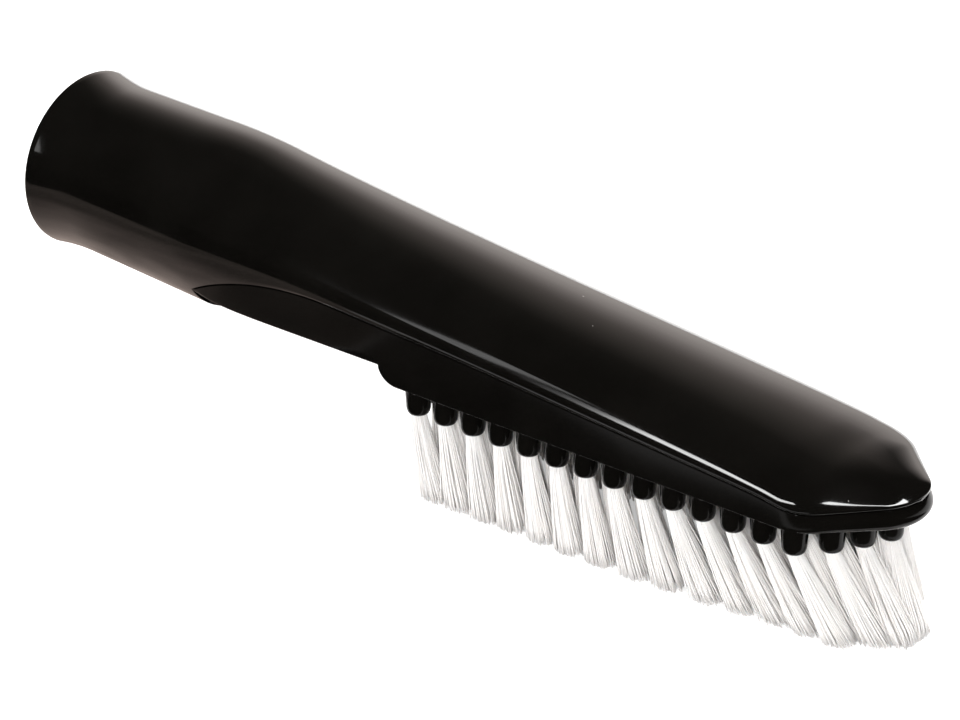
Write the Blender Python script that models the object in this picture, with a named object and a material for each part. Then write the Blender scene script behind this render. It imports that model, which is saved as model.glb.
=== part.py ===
# Vacuum brush attachment: a socket tube that runs into a long low hood, a boat-shaped base
# under the hood with a suction mouth and a ring of bosses, and one bristle tuft in each boss.
# Lengths are in metres. +X points to the nose, +Z up, and the bristle tips stand on z = 0.
# The model is laid out from the socket's mouth, at x = 0, and centred on the origin at the end.

import math

import bmesh
import bpy
from mathutils import Matrix, Vector

MM = 0.001

# Overall sizes
BODY_LENGTH = 231.0 * MM          # mouth of the socket to the tip of the nose
BRISTLE_LENGTH = 19.2 * MM        # free height of a tuft under its boss
CLEARANCE = 0.3 * MM              # gap between pieces that touch on the real object
OVERRUN = 3.0 * MM                # how far a cutter runs past what it cuts

# Socket
BORE_MOUTH_DIAMETER = 35.3 * MM   # takes a 35 mm wand
BORE_END_DIAMETER = 34.7 * MM
SOCKET_LENGTH = 48.0 * MM         # mouth to the end wall under the tube
END_WALL = 3.0 * MM
MOUTH_WALL = 1.9 * MM             # wall of the tube just behind the rim's flare
TUBE_WALL = 3.05 * MM             # wall of the tube at the inner end of the bore
RIM_FLARE = 1.35 * MM             # how far the rim stands out from the tube
RIM_FLARE_LENGTH = 10.0 * MM
AXIS_PITCH = math.radians(2.9)    # the socket's axis sinks towards the nose by this angle

# Hood
HOOD_WALL = 2.0 * MM
HOOD_OVERHANG = 0.3 * MM          # how far the hood stands out past the base's wall
LIP_DEPTH = 0.7 * MM              # height of the hood's rolled lower edge
LIP_FADE_LENGTH = 62.0 * MM       # length over which the tube's belly shrinks to that lip
LIP_FADE_POWER = 3.6
NOSE_ROLL_LENGTH = 30.0 * MM      # length over which the hood's top rolls down to the nose
NOSE_ROLL_POWER = 1.9

# Base
BASE_INSET = 0.1 * MM             # the base's wall lies this far inside the tube's radius
REAR_NARROWING = 3.2 * MM         # how much narrower each side is at the socket's end wall
REAR_TAPER_LENGTH = 32.0 * MM     # length over which the base widens to its full width
REAR_TAPER_POWER = 4
WALL_DELAY = 2.0 * MM             # the base's wall first shows this far past the end wall
NECK_FLOOR_HEIGHT = 9.5 * MM      # underside of the neck, above the foot of the bosses
BOSS_HEIGHT = 5.5 * MM            # underside of the head, above the foot of the bosses
FLOOR_THICKNESS = 2.5 * MM
STEP_LENGTH = 6.0 * MM            # length of the rounded step down from neck to head
STEP_GAP = 0.6 * MM               # from the foot of that step to the first boss
NOSE_CORNER_RADIUS = 11.0 * MM
NOSE_TIP_RADIUS = 10.9 * MM
TONGUE_HEIGHT = 2.4 * MM          # the base's tongue stands this far up inside the hood
TONGUE_TOE = 0.9 * MM             # the hood's inside is cleared this far below the seam
TONGUE_WALL = 1.5 * MM
TONGUE_CLEARANCE = 0.6 * MM       # between the tongue and the inside of the hood
TONGUE_NOSE_GAP = 24.0 * MM       # the tongue ends this far short of the tip of the nose

# Suction mouth in the floor of the head
MOUTH_WIDTH = 19.0 * MM
MOUTH_REAR_GAP = 11.6 * MM        # from the middle of the cross row of bosses
MOUTH_NOSE_GAP = 5.4 * MM         # from the middle of the last side boss

# Bosses
FIRST_BOSS_X = 114.4 * MM
BOSS_SPACING = 7.54 * MM          # wanted from boss to boss in the long rows
REAR_BOSSES = 4                   # in the cross row behind the mouth
ROW_INSET = 3.0 * MM              # middle of a side boss to the face of the base's wall
NOSE_BOSS_INSET = 6.9 * MM        # middle of the nose boss to the tip of the nose
BOSS_WALL = 0.75 * MM             # round the hole, at the foot
BOSS_DRAFT = 0.45 * MM            # a boss is this much larger in radius at its root
BOSS_ROUNDING = 0.6 * MM
HOLE_END = 0.7 * MM               # a tuft's hole stops this far under the head's underside

# Tufts
INNER_STRAND_COUNT = 3
OUTER_STRAND_COUNT = 7
STRAND_SIDES = 3
STRAND_DIAMETER = 0.46 * MM
STRAND_GAP = 0.5 * MM             # between strands of the outer ring, where they leave the plug
STRAND_MARGIN = 0.15 * MM         # from the outer ring of strands to the edge of the plug
REAR_LEAN = 3.4 * MM              # how far a tip lies ahead of its root, first boss
SIDE_LEAN = 7.2 * MM              # the same along the rows
NOSE_LEAN = 8.2 * MM              # the same at the nose
OUTWARD_LEAN = 0.6 * MM           # how far a tip lies outside its root

# The inner ring of strands as a share of the outer one, a tuft's width at its tip as a share of
# its width at its root, the part of a strand's lean that comes in towards its tip, and the part
# of a row over which the lean grows
INNER_RING_SHARE = 0.36
TIP_SPREAD_SHARE = 2.3
STRAND_BEND_SHARE = 0.2
LEAN_GROWTH_SHARE = 0.4

# Profile of the hood from the socket's end wall to the nose: place along the hood as a share of
# its length, then the heights of the widest line and of the top as shares of the tube's
# diameter, both above the foot of the bosses
HOOD_PROFILE_SHARES = (
    (0.000, 0.5115, 1.0115),
    (0.064, 0.512, 0.956),
    (0.130, 0.514, 0.903),
    (0.200, 0.510, 0.851),
    (0.281, 0.486, 0.799),
    (0.443, 0.443, 0.701),
    (0.606, 0.386, 0.615),
    (0.767, 0.328, 0.522),
    (0.854, 0.295, 0.455),
    (0.908, 0.263, 0.402),
    (1.000, 0.276, 0.302),
)
HOOD_STATION_SHARES = (
    0.0, 0.05, 0.1, 0.16, 0.23, 0.31, 0.4, 0.5, 0.6, 0.7, 0.8, 0.88, 0.935, 0.965, 0.985, 0.997,
)
FLARE_STATION_SHARES = (0.0, 0.2, 0.5, 1.0)
STRAND_STATION_SHARES = (0.0, 0.5, 1.0)

# Places of the nose bosses ahead of the last side boss and out from the middle, as shares of
# the rows' half width
NOSE_BOSS_SHARES = ((0.303, 0.684), (0.511, 0.340), (0.672, 0.0))

HOOD_SEGMENTS = 48
CAVITY_SEGMENTS = 32
BOSS_SEGMENTS = 12
PLUG_SEGMENTS = 8
ARC_STEPS = 6
CREASE_ANGLE = math.radians(35)
STEEPEST_TUCK = 0.01              # keeps the hood's lower edge finite where it meets the tube

# Sizes that follow from these
BORE_DEPTH = SOCKET_LENGTH - END_WALL
MOUTH_TUBE_RADIUS = BORE_MOUTH_DIAMETER / 2 + MOUTH_WALL
TUBE_RADIUS = BORE_END_DIAMETER / 2 + TUBE_WALL
TUBE_OD = 2 * TUBE_RADIUS
HOOD_LENGTH = BODY_LENGTH - SOCKET_LENGTH
BASE_HALF_WIDTH = TUBE_RADIUS - BASE_INSET
ROW_HALF_WIDTH = BASE_HALF_WIDTH - ROW_INSET
LAST_BOSS_X = BODY_LENGTH - NOSE_BOSS_INSET - NOSE_BOSS_SHARES[-1][0] * ROW_HALF_WIDTH
SIDE_BOSSES = 1 + round((LAST_BOSS_X - FIRST_BOSS_X) / BOSS_SPACING)
BOSS_PITCH = (LAST_BOSS_X - FIRST_BOSS_X) / (SIDE_BOSSES - 1)
STRAND_RING_RADIUS = OUTER_STRAND_COUNT * (STRAND_DIAMETER + STRAND_GAP) / (2 * math.pi)
PLUG_RADIUS = STRAND_RING_RADIUS + STRAND_DIAMETER / 2 + STRAND_MARGIN
HOLE_RADIUS = PLUG_RADIUS + CLEARANCE
HOLE_DEPTH = BOSS_HEIGHT - HOLE_END
BOSS_FOOT_RADIUS = HOLE_RADIUS + BOSS_WALL
BOSS_ROOT_RADIUS = BOSS_FOOT_RADIUS + BOSS_DRAFT
STEP_END = FIRST_BOSS_X - BOSS_ROOT_RADIUS - STEP_GAP
STEP_START = STEP_END - STEP_LENGTH
MOUTH_START = FIRST_BOSS_X + MOUTH_REAR_GAP
MOUTH_END = LAST_BOSS_X - MOUTH_NOSE_GAP
TONGUE_END = BODY_LENGTH - TONGUE_NOSE_GAP
FOOT_Z = BRISTLE_LENGTH           # the foot of the bosses


def smooth(share):
    share = min(max(share, 0.0), 1.0)
    return share * share * (3 - 2 * share)


def through(points, x):
    """Value at x on a smooth curve through (x, value) points, straight beyond its ends."""
    count = len(points)
    slopes = []
    for i in range(count):
        before = points[max(i - 1, 0)]
        after = points[min(i + 1, count - 1)]
        slopes.append((after[1] - before[1]) / (after[0] - before[0]))
    if x <= points[0][0]:
        return points[0][1] + slopes[0] * (x - points[0][0])
    if x >= points[-1][0]:
        return points[-1][1] + slopes[-1] * (x - points[-1][0])
    i = max(k for k in range(count - 1) if points[k][0] <= x)
    span = points[i + 1][0] - points[i][0]
    t = (x - points[i][0]) / span
    start = points[i][1] * (2 * t ** 3 - 3 * t ** 2 + 1) + slopes[i] * span * (t ** 3 - 2 * t ** 2 + t)
    end = points[i + 1][1] * (3 * t ** 2 - 2 * t ** 3) + slopes[i + 1] * span * (t ** 3 - t ** 2)
    return start + end


# The curves that the hood and the base share

def tube_radius(x):
    behind_flare = MOUTH_TUBE_RADIUS + (TUBE_RADIUS - MOUTH_TUBE_RADIUS) * x / SOCKET_LENGTH
    return behind_flare + RIM_FLARE * max(0.0, 1 - x / RIM_FLARE_LENGTH) ** 2


def widest_height(x):
    places = [SOCKET_LENGTH + place * HOOD_LENGTH for place, widest, top in HOOD_PROFILE_SHARES]
    heights = [FOOT_Z + widest * TUBE_OD for place, widest, top in HOOD_PROFILE_SHARES]
    return through(list(zip(places, heights)), x)


def top_height(x):
    places = [SOCKET_LENGTH + place * HOOD_LENGTH for place, widest, top in HOOD_PROFILE_SHARES]
    heights = [FOOT_Z + top * TUBE_OD for place, widest, top in HOOD_PROFILE_SHARES]
    return through(list(zip(places, heights)), x)


def axis_height(x):
    """Height of the socket's axis, which meets the hood's widest line at the end wall."""
    return widest_height(SOCKET_LENGTH) + math.tan(AXIS_PITCH) * (SOCKET_LENGTH - x)


def lip_depth(x):
    """Height of the part of the hood that curves in again below its widest line."""
    belly = widest_height(SOCKET_LENGTH) - FOOT_Z - NECK_FLOOR_HEIGHT
    fade = max(0.0, 1 - (x - SOCKET_LENGTH) / LIP_FADE_LENGTH) ** LIP_FADE_POWER
    return LIP_DEPTH + (belly - LIP_DEPTH) * fade


def seam_height(x):
    """Where the hood's lower edge meets the base's wall."""
    return widest_height(x) - lip_depth(x)


def under_height(x):
    """Underside of the base: the neck's, then the head's after a rounded step."""
    drop = smooth((x - STEP_START) / STEP_LENGTH)
    return FOOT_Z + NECK_FLOOR_HEIGHT - (NECK_FLOOR_HEIGHT - BOSS_HEIGHT) * drop


def nose_half_width(x, outset):
    """Half width of the pointed nose, whose sides meet at a right angle, moved out by outset."""
    flank = math.sqrt(2)
    apex = BODY_LENGTH - HOOD_OVERHANG + NOSE_TIP_RADIUS * (flank - 1)
    half_width = BASE_HALF_WIDTH + outset
    tip_radius = NOSE_TIP_RADIUS + outset
    tip_centre = apex - NOSE_TIP_RADIUS * flank
    corner_x = apex - BASE_HALF_WIDTH + outset * (flank - 1)
    corner_radius = NOSE_CORNER_RADIUS + outset
    corner_start = corner_x - corner_radius * math.tan(math.pi / 8)
    corner_end = corner_start + corner_radius / flank
    if x <= corner_start:
        return half_width
    if x <= corner_end:
        return half_width - corner_radius + math.sqrt(corner_radius ** 2 - (x - corner_start) ** 2)
    if x <= tip_centre + tip_radius / flank:
        return apex + outset * flank - x
    return math.sqrt(max(0.0, tip_radius ** 2 - (x - tip_centre) ** 2))


def nose_tip(outset):
    return BODY_LENGTH - HOOD_OVERHANG + outset


def base_half_width(x, outset=0.0):
    fade = max(0.0, 1 - (x - SOCKET_LENGTH) / REAR_TAPER_LENGTH) ** REAR_TAPER_POWER
    return nose_half_width(x, outset) - REAR_NARROWING * fade


def hood_half_width(x):
    tube = tube_radius(min(x, SOCKET_LENGTH))
    wide = nose_half_width(x, HOOD_OVERHANG)
    return tube + (wide - tube) * smooth((x - SOCKET_LENGTH) / LIP_FADE_LENGTH)


# Making meshes and objects

def collection(name):
    made = bpy.data.collections.new(name)
    bpy.context.scene.collection.children.link(made)
    return made


def clear_scene():
    for found in list(bpy.data.objects):
        bpy.data.objects.remove(found, do_unlink=True)


def material(name, colour, roughness, metallic=0.0, coat=0.0):
    made = bpy.data.materials.new(name)
    made.use_nodes = True
    shader = made.node_tree.nodes["Principled BSDF"]
    shader.inputs["Base Color"].default_value = (*colour, 1.0)
    shader.inputs["Roughness"].default_value = roughness
    shader.inputs["Metallic"].default_value = metallic
    shader.inputs["Coat Weight"].default_value = coat
    made.diffuse_color = (*colour, 1.0)
    return made


def gloss_black(name):
    return material(name, (0.012, 0.011, 0.010), 0.12, coat=0.3)


def nylon_white(name):
    return material(name, (0.86, 0.84, 0.82), 0.45)


def object_from(name, bm, group, finish=None):
    bmesh.ops.recalc_face_normals(bm, faces=bm.faces[:])
    mesh = bpy.data.meshes.new(name)
    bm.to_mesh(mesh)
    bm.free()
    made = bpy.data.objects.new(name, mesh)
    group.objects.link(made)
    if finish is not None:
        mesh.materials.append(finish)
        mesh.shade_smooth()
        mesh.set_sharp_from_angle(angle=CREASE_ANGLE)
    else:
        made.hide_render = True
        made.display_type = "WIRE"
    return made


def boolean(target, tool, operation):
    step = target.modifiers.new(operation.lower() + " " + tool.name, "BOOLEAN")
    step.operation = operation
    step.solver = "EXACT"
    step.object = tool
    return step


def loft(bm, sections, closed_tip=None):
    """Skin closed rings of equal length, cap both ends, or end in one point at closed_tip."""
    rings = [[bm.verts.new(point) for point in section] for section in sections]
    count = len(rings[0])
    for ring, after in zip(rings, rings[1:]):
        for i in range(count):
            j = (i + 1) % count
            bm.faces.new((ring[i], ring[j], after[j], after[i]))
    bm.faces.new(rings[0])
    if closed_tip is None:
        bm.faces.new(reversed(rings[-1]))
        return
    tip = bm.verts.new(closed_tip)
    for i in range(count):
        bm.faces.new((rings[-1][i], rings[-1][(i + 1) % count], tip))


def oval(x, half_width, centre, rise, drop, segments, tilt=0.0):
    """A ring across the body: half an ellipse above the widest line, half of one below it."""
    ring = []
    for i in range(segments):
        turn = 2 * math.pi * i / segments
        y = half_width * math.cos(turn)
        z = math.sin(turn) * (rise if math.sin(turn) > 0 else drop)
        ring.append(Vector((x + z * math.sin(tilt), y, centre + z * math.cos(tilt))))
    return ring


def circle_section(x, radius, segments):
    return oval(x, radius, axis_height(x), radius, radius, segments, AXIS_PITCH)


def prism(bm, outline, axis, low, high):
    """Extrude an outline of (x, other) points along y or z."""
    if axis == "z":
        near = [Vector((x, other, low)) for x, other in outline]
        far = [Vector((x, other, high)) for x, other in outline]
    else:
        near = [Vector((x, low, other)) for x, other in outline]
        far = [Vector((x, high, other)) for x, other in outline]
    loft(bm, [near, far])


# Hood and socket

def hood_rise(x):
    """Height of the hood's top over its widest line."""
    roll = min(1.0, max(0.0, (x - (BODY_LENGTH - NOSE_ROLL_LENGTH)) / NOSE_ROLL_LENGTH))
    return (top_height(x) - widest_height(x)) * math.sqrt(1 - roll ** NOSE_ROLL_POWER)


def hood_tilt(x):
    return AXIS_PITCH * (1 - smooth((x - SOCKET_LENGTH) / LIP_FADE_LENGTH))


def hood_section(x):
    wall = base_half_width(x) / hood_half_width(x)
    drop = lip_depth(x) / math.sqrt(max(1 - wall ** 2, STEEPEST_TUCK))
    half_width = hood_half_width(x)
    return oval(x, half_width, widest_height(x), hood_rise(x), drop, HOOD_SEGMENTS, hood_tilt(x))


def cavity_section(x):
    half_width = hood_half_width(x) - HOOD_WALL
    rise = max(hood_rise(x) - HOOD_WALL, CLEARANCE)
    drop = TUBE_RADIUS - HOOD_WALL
    return oval(x, half_width, widest_height(x), rise, drop, CAVITY_SEGMENTS, hood_tilt(x))


def hood_outer():
    bm = bmesh.new()
    places = [RIM_FLARE_LENGTH * share for share in FLARE_STATION_SHARES] + [SOCKET_LENGTH / 2]
    sections = [circle_section(x, tube_radius(x), HOOD_SEGMENTS) for x in places]
    for share in HOOD_STATION_SHARES:
        sections.append(hood_section(SOCKET_LENGTH + share * HOOD_LENGTH))
    tip = (BODY_LENGTH, 0.0, widest_height(BODY_LENGTH))
    loft(bm, sections, tip)
    return bm


def hood_cavity(group):
    bm = bmesh.new()
    end = BODY_LENGTH - HOOD_WALL
    sections = []
    for share in HOOD_STATION_SHARES[1:-2]:
        x = SOCKET_LENGTH + share * (end - SOCKET_LENGTH)
        sections.append(cavity_section(x))
    start = cavity_section(SOCKET_LENGTH)
    floor = FOOT_Z + NECK_FLOOR_HEIGHT
    flat_start = [Vector((BORE_DEPTH - CLEARANCE, p.y, max(p.z, floor))) for p in start]
    flat_end = [Vector((p.x, p.y, max(p.z, floor))) for p in start]
    loft(bm, [flat_start, flat_end] + sections)
    return object_from("cavity_cutter", bm, group)


def socket_bore(group):
    bm = bmesh.new()
    mouth = circle_section(-OVERRUN, BORE_MOUTH_DIAMETER / 2, HOOD_SEGMENTS)
    end = circle_section(BORE_DEPTH, BORE_END_DIAMETER / 2, HOOD_SEGMENTS)
    loft(bm, [mouth, end])
    return object_from("bore_cutter", bm, group)


def seam_stations():
    """Places along the body at which the seam's height is taken, closest at its curved rear."""
    steps = 2 * ARC_STEPS
    rear = [SOCKET_LENGTH + LIP_FADE_LENGTH * i / steps for i in range(steps + 1)]
    hood = [SOCKET_LENGTH + HOOD_LENGTH * share for share in HOOD_STATION_SHARES[:-3]]
    return rear + [x for x in hood if x > rear[-1] + CLEARANCE]


def below_seam(group):
    """Everything behind the socket's end wall and under the seam, which the base fills."""
    bm = bmesh.new()
    outline = [(x, seam_height(x)) for x in seam_stations()]
    outline.append((BODY_LENGTH + OVERRUN, seam_height(BODY_LENGTH)))
    outline.append((BODY_LENGTH + OVERRUN, -OVERRUN))
    outline.append((SOCKET_LENGTH, -OVERRUN))
    prism(bm, outline, "y", -TUBE_OD, TUBE_OD)
    return object_from("seam_cutter", bm, group)


def upper_shell(group, cutters):
    body = object_from("upper_shell", hood_outer(), group, gloss_black("upper_shell_plastic"))
    boolean(body, hood_cavity(cutters), "DIFFERENCE")
    boolean(body, socket_bore(cutters), "DIFFERENCE")
    boolean(body, below_seam(cutters), "DIFFERENCE")
    return body


# Base

def plan_outline(start, end, half_width_at):
    """Closed outline in plan from start to end, both sides."""
    taper = SOCKET_LENGTH + REAR_TAPER_LENGTH - start
    widening = [start + taper * i / ARC_STEPS for i in range(ARC_STEPS + 1)]
    corner = BODY_LENGTH - BASE_HALF_WIDTH - NOSE_CORNER_RADIUS
    turns = [math.pi / 2 * i / (2 * ARC_STEPS) for i in range(2 * ARC_STEPS)]
    nose = [corner + (nose_tip(0.0) - corner) * math.sin(turn) for turn in turns]
    places = [x for x in widening + nose if x < end - CLEARANCE] + [end]
    right = [(x, -half_width_at(x)) for x in places]
    left = [(x, -y) for x, y in reversed(right) if y < 0]
    return right + left


def side_profile(low_at, high_at, start, end):
    """Closed outline in side view between two heights that vary along the body."""
    step = [STEP_START + STEP_LENGTH * i / ARC_STEPS for i in range(ARC_STEPS + 1)]
    low = [(x, low_at(x)) for x in [start] + step + [end]]
    seam = [x for x in seam_stations() if start < x < end]
    high = [(x, high_at(x)) for x in [start] + seam + [end]]
    return low + high[::-1]


def base_block(name, group, cutters, outline, profile, finish=None):
    """What an outline in plan and an outline in side view have in common."""
    bm = bmesh.new()
    prism(bm, outline, "z", -OVERRUN, FOOT_Z + TUBE_OD + OVERRUN)
    block = object_from(name, bm, group, finish)
    side = bmesh.new()
    prism(side, profile, "y", -TUBE_OD, TUBE_OD)
    boolean(block, object_from(name + "_side", side, cutters), "INTERSECT")
    return block


def tongue_half_width(x):
    """Half width that clears the inside of the hood from the seam up."""
    below = (lip_depth(x) + TONGUE_TOE) / (TUBE_RADIUS - HOOD_WALL)
    above = max(0.0, TONGUE_HEIGHT - lip_depth(x)) / (hood_rise(x) - HOOD_WALL)
    inner = hood_half_width(x) - HOOD_WALL
    return inner * math.sqrt(1 - max(below, above) ** 2) - TONGUE_CLEARANCE


def boss_places():
    """Name, x, y, lean ahead and lean outward of every tuft."""
    places = []
    for side, sign in (("right", -1), ("left", 1)):
        for i in range(SIDE_BOSSES):
            x = FIRST_BOSS_X + BOSS_PITCH * i
            growth = smooth(i / (SIDE_BOSSES - 1) / LEAN_GROWTH_SHARE)
            lean = REAR_LEAN + (SIDE_LEAN - REAR_LEAN) * growth
            name = f"tuft_{side}_{i + 1:02d}"
            places.append((name, x, sign * ROW_HALF_WIDTH, lean, sign * OUTWARD_LEAN))
        for i, (ahead, out) in enumerate(NOSE_BOSS_SHARES[:-1]):
            x = LAST_BOSS_X + ahead * ROW_HALF_WIDTH
            name = f"tuft_nose_{side}_{i + 1}"
            places.append((name, x, sign * out * ROW_HALF_WIDTH, NOSE_LEAN, sign * OUTWARD_LEAN))
    places.append(("tuft_nose_tip", BODY_LENGTH - NOSE_BOSS_INSET, 0.0, NOSE_LEAN, 0.0))
    for i in range(REAR_BOSSES):
        y = ROW_HALF_WIDTH * (2 * (i + 1) / (REAR_BOSSES + 1) - 1)
        places.append((f"tuft_rear_{i + 1}", FIRST_BOSS_X, y, REAR_LEAN, 0.0))
    return places


def bosses(group):
    bm = bmesh.new()
    rings = (
        (BOSS_FOOT_RADIUS - BOSS_ROUNDING, 0.0),
        (BOSS_FOOT_RADIUS, BOSS_ROUNDING),
        (BOSS_ROOT_RADIUS, BOSS_HEIGHT + FLOOR_THICKNESS / 2),
    )
    turns = [2 * math.pi * k / BOSS_SEGMENTS for k in range(BOSS_SEGMENTS)]
    for name, x, y, ahead, outward in boss_places():
        sections = []
        for radius, height in rings:
            ring = [(x + radius * math.cos(t), y + radius * math.sin(t)) for t in turns]
            sections.append([Vector((*point, FOOT_Z + height)) for point in ring])
        loft(bm, sections)
    return object_from("boss_union", bm, group)


def tuft_holes(group):
    bm = bmesh.new()
    for name, x, y, ahead, outward in boss_places():
        place = Matrix.Translation((x, y, FOOT_Z + (HOLE_DEPTH - OVERRUN) / 2))
        bmesh.ops.create_cone(
            bm, cap_ends=True, segments=BOSS_SEGMENTS, radius1=HOLE_RADIUS,
            radius2=HOLE_RADIUS, depth=HOLE_DEPTH + OVERRUN, matrix=place)
    return object_from("tuft_hole_cutter", bm, group)


def suction_mouth(group):
    """A long slot with round ends."""
    bm = bmesh.new()
    radius = MOUTH_WIDTH / 2
    outline = []
    for centre, start in ((MOUTH_END - radius, -math.pi / 2), (MOUTH_START + radius, math.pi / 2)):
        for i in range(2 * ARC_STEPS + 1):
            turn = start + math.pi * i / (2 * ARC_STEPS)
            outline.append((centre + radius * math.cos(turn), radius * math.sin(turn)))
    prism(bm, outline, "z", FOOT_Z, FOOT_Z + BOSS_HEIGHT + FLOOR_THICKNESS + OVERRUN)
    return object_from("suction_mouth_cutter", bm, group)


def lower_base(group, cutters):
    start = SOCKET_LENGTH + CLEARANCE
    past_nose = BODY_LENGTH + OVERRUN
    tongue_inset = HOOD_WALL - HOOD_OVERHANG + TONGUE_CLEARANCE
    hollow_inset = tongue_inset + TONGUE_WALL

    def tongue_side(x):
        return min(tongue_half_width(x), base_half_width(x, -tongue_inset))

    def hollow_side(x):
        within = base_half_width(x, -hollow_inset)
        if x > TONGUE_END:
            return within
        return min(tongue_half_width(max(x, start)) - TONGUE_WALL, within)

    def floor_height(x):
        return under_height(x) + FLOOR_THICKNESS

    def wall_top(x):
        return seam_height(x) - CLEARANCE

    def tongue_top(x):
        return max(seam_height(x) + TONGUE_HEIGHT, floor_height(x))

    finish = gloss_black("lower_base_plastic")
    outline = plan_outline(start, nose_tip(0.0), base_half_width)
    profile = side_profile(under_height, wall_top, SOCKET_LENGTH + WALL_DELAY, past_nose)
    base = base_block("lower_base", group, cutters, outline, profile, finish)
    outline = plan_outline(start, TONGUE_END, tongue_side)
    profile = side_profile(under_height, tongue_top, start - OVERRUN, past_nose)
    boolean(base, base_block("tongue", cutters, cutters, outline, profile), "UNION")
    outline = plan_outline(start - OVERRUN, nose_tip(-hollow_inset), hollow_side)
    profile = side_profile(floor_height, lambda x: FOOT_Z + TUBE_OD, start - OVERRUN, past_nose)
    boolean(base, base_block("hollow", cutters, cutters, outline, profile), "DIFFERENCE")
    boolean(base, bosses(cutters), "UNION")
    boolean(base, tuft_holes(cutters), "DIFFERENCE")
    boolean(base, suction_mouth(cutters), "DIFFERENCE")
    return base


# Tufts

def ring_of(count, radius, start, height=0.0, centre=(0.0, 0.0)):
    """Points on a level circle, the first one at the angle start."""
    points = []
    for i in range(count):
        turn = start + 2 * math.pi * i / count
        x = centre[0] + radius * math.cos(turn)
        points.append(Vector((x, centre[1] + radius * math.sin(turn), height)))
    return points


def strand_roots():
    """Where the strands leave the plug, in two rings round its middle."""
    inner_radius = STRAND_RING_RADIUS * INNER_RING_SHARE
    inner = ring_of(INNER_STRAND_COUNT, inner_radius, math.pi / INNER_STRAND_COUNT)
    return inner + ring_of(OUTER_STRAND_COUNT, STRAND_RING_RADIUS, 0.0)


def strand_rings(bm, root, ahead, outward):
    """Corners of one strand at its stations, root first; strands fan out and never cross."""
    rings = []
    facing = math.atan2(root.y, root.x)
    for share in STRAND_STATION_SHARES:
        spread = 1 + (TIP_SPREAD_SHARE - 1) * share
        bend = (1 - STRAND_BEND_SHARE) * share + STRAND_BEND_SHARE * share ** 2
        centre = (root.x * spread + ahead * bend, root.y * spread + outward * bend)
        height = -BRISTLE_LENGTH * share
        ring = ring_of(STRAND_SIDES, STRAND_DIAMETER / 2, facing, height, centre)
        rings.append([bm.verts.new(point) for point in ring])
    return rings


def closed_edges(bm, ring):
    return [bm.edges.new((ring[i], ring[(i + 1) % len(ring)])) for i in range(len(ring))]


def join_rings(bm, ring, after):
    for i in range(len(ring)):
        j = (i + 1) % len(ring)
        bm.faces.new((ring[i], ring[j], after[j], after[i]))


def tuft(name, group, x, y, ahead, outward, finish):
    """A plug with strands that spread from its face; all are one closed body."""
    bm = bmesh.new()
    plug_turn = math.pi / PLUG_SEGMENTS
    foot = [bm.verts.new(point) for point in ring_of(PLUG_SEGMENTS, PLUG_RADIUS, plug_turn)]
    strands = [strand_rings(bm, root, ahead, outward) for root in strand_roots()]
    edges = closed_edges(bm, foot)
    for rings in strands:
        edges += closed_edges(bm, rings[0])
    bmesh.ops.triangle_fill(bm, use_beauty=True, use_dissolve=False, edges=edges)
    roots = [set(rings[0]) for rings in strands]
    root_faces = [face for face in bm.faces if set(face.verts) in roots]
    bmesh.ops.delete(bm, geom=root_faces, context="FACES_ONLY")
    for rings in strands:
        for ring, after in zip(rings, rings[1:]):
            join_rings(bm, ring, after)
        bm.faces.new(rings[-1])
    plug_height = HOLE_DEPTH - CLEARANCE
    back = [bm.verts.new((vert.co.x, vert.co.y, plug_height)) for vert in foot]
    join_rings(bm, foot, back)
    bm.faces.new(back)
    made = object_from(name, bm, group, finish)
    made.location = (x, y, FOOT_Z)
    return made


def centre_on_origin(pieces):
    """Parent every piece to an empty that puts the middle of the whole over the origin."""
    bpy.context.view_layer.update()
    graph = bpy.context.evaluated_depsgraph_get()
    low, high = math.inf, -math.inf
    for piece in pieces:
        seen = piece.evaluated_get(graph)
        for vertex in seen.data.vertices:
            x = (seen.matrix_world @ vertex.co).x
            low, high = min(low, x), max(high, x)
    middle = bpy.data.objects.new("middle_of_brush", None)
    bpy.context.scene.collection.objects.link(middle)
    middle.location.x = -(low + high) / 2
    for piece in pieces:
        piece.parent = middle


def main():
    clear_scene()
    parts = collection("vacuum_brush_attachment")
    cutters = collection("cutters")
    pieces = [upper_shell(parts, cutters), lower_base(parts, cutters)]
    for name, x, y, ahead, outward in boss_places():
        pieces.append(tuft(name, parts, x, y, ahead, outward, nylon_white(name + "_nylon")))
    centre_on_origin(pieces)
    for cutter in cutters.objects:
        cutter.parent = pieces[0].parent


main()
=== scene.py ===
"""Vacuum brush attachment: glossy hood and base, filament tufts, studio stage."""

import random
from math import asin, copysign, cos, exp, pi, radians, sin, sqrt, tan

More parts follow.
